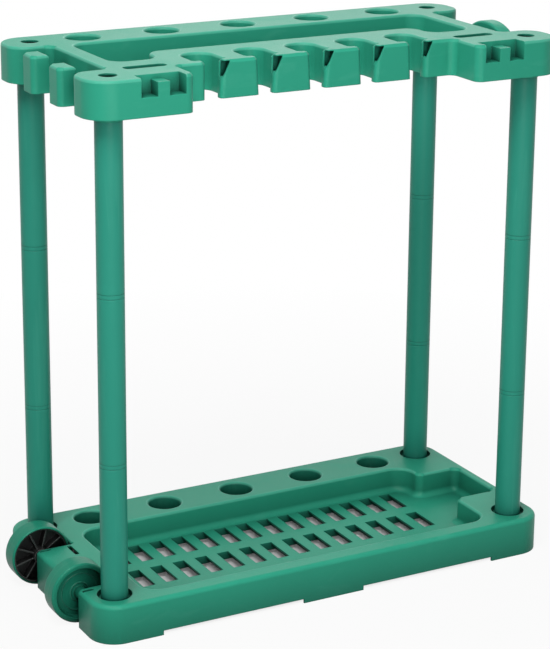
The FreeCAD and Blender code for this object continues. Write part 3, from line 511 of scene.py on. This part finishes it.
# the floor under the base keeps its own shade
spread = wire.node("ShaderNodeVectorMath", {"operation": "ABSOLUTE"}, {0: place})
sides = wire.node("ShaderNodeVectorMath", {"operation": "SUBTRACT"},
                  {0: spread, 1: (stageLook["halfLength"], stageLook["halfWidth"], 0)})
along = wire.node("ShaderNodeSeparateXYZ", None, {0: sides}, output="X")
across = wire.node("ShaderNodeSeparateXYZ", None, {0: sides}, output="Y")
outside = wire.maths("MAXIMUM", along, across)
fade = fade * wire.node("ShaderNodeMapRange", None,
                        {0: outside, 1: 0.0, 2: stageLook["soft"], 3: stageLook["under"], 4: 1.0})
matte = wire.node("ShaderNodeBsdfDiffuse", None, {"Color": stageLook["floor"], "Roughness": 1.0})
white = wire.node("ShaderNodeEmission", None, {"Color": (1, 1, 1, 1), "Strength": 1.0})
surface = wire.node("ShaderNodeMixShader", None, {0: fade * whiteRays(wire), 1: matte, 2: white})
wire.node("ShaderNodeOutputMaterial", None, {"Surface": surface})

bm = bmesh.new()
bmesh.ops.create_grid(bm, x_segments=1, y_segments=1, size=stageLook["halfFloor"])
mesh = bpy.data.meshes.new("paleFloor")
bm.to_mesh(mesh)
bm.free()
mesh.materials.append(floorMaterial)
floor = bpy.data.objects.new("paleFloor", mesh)
bpy.context.collection.objects.link(floor)

world = bpy.data.worlds.new("studio")
world.use_nodes = True
world.node_tree.nodes.clear()
bpy.context.scene.world = world
wire = Wire(world.node_tree)
fill = wire.node("ShaderNodeBackground", None, {"Color": (1, 1, 1, 1), "Strength": stageLook["fill"]})
backdrop = wire.node("ShaderNodeBackground", None, {"Color": (1, 1, 1, 1), "Strength": 1.0})
surface = wire.node("ShaderNodeMixShader", None, {0: whiteRays(wire), 1: fill, 2: backdrop})
wire.node("ShaderNodeOutputWorld", None, {"Surface": surface})


def addLamp(name, place, target, size, power):
    lamp = bpy.data.lights.new(name, "AREA")
    lamp.shape = "RECTANGLE"
    lamp.size, lamp.size_y = size
    lamp.energy = power
    item = bpy.data.objects.new(name, lamp)
    bpy.context.collection.objects.link(item)
    item.location = place
    item.rotation_euler = (Vector(target) - Vector(place)).to_track_quat("-Z", "Y").to_euler()


# each lamp's place, target, size and power
lamps = {
    "key": ((-1.3, -1.1, 3.2), (0, 0, 0.4), (1.4, 1.4), 80),
    "front": ((-0.6, -1.9, 0.9), (0, 0, 0.22), (1.2, 0.9), 20),
    "overhead": ((0.0, 0.5, 2.3), (0, 0, 0.4), (1.5, 1.0), 5),
    "rear": ((1.6, 2.4, 2.2), (0, 0, 0.4), (1.6, 1.2), 11),
    "right": ((3.0, -1.6, 1.8), (0, 0, 0.3), (1.6, 1.6), 2.5),
}
for name, (spot, target, size, power) in lamps.items():
    addLamp(name, spot, target, size, power)

# the focal length is in pixels of the picture, whose height the sensor spans
viewpoint = {"azimuth": -28.515, "elevation": 15.805, "roll": 0.459, "distance": 3.3949,
             "focal": 2198, "across": -0.0061, "along": 0.1031, "aim": (0.01825, 0, 0.4),
             "shift": -0.12, "imageHeight": 649, "sensor": 36}
azimuth, elevation = math.radians(viewpoint["azimuth"]), math.radians(viewpoint["elevation"])
back = Vector((math.sin(azimuth) * math.cos(elevation), -math.cos(azimuth) * math.cos(elevation),
               math.sin(elevation)))
right = Vector((math.cos(azimuth), math.sin(azimuth), 0))
up = back.cross(right)
cameraData = bpy.data.cameras.new("photoCamera")
cameraData.sensor_width = viewpoint["sensor"]
cameraData.lens = viewpoint["sensor"] * viewpoint["focal"] / viewpoint["imageHeight"]
cameraData.shift_y = viewpoint["shift"]
camera = bpy.data.objects.new("photoCamera", cameraData)
bpy.context.collection.objects.link(camera)
spin = Matrix((right, up, back)).transposed().to_4x4()
spin = Matrix.Rotation(math.radians(viewpoint["roll"]), 4, back) @ spin
camera.matrix_world = Matrix.Translation(
    Vector(viewpoint["aim"]) + back * viewpoint["distance"] + right * viewpoint["across"]
    + up * viewpoint["along"]) @ spin
bpy.context.scene.camera = camera
bpy.context.scene.view_settings.view_transform = "Standard"
print("stage done")
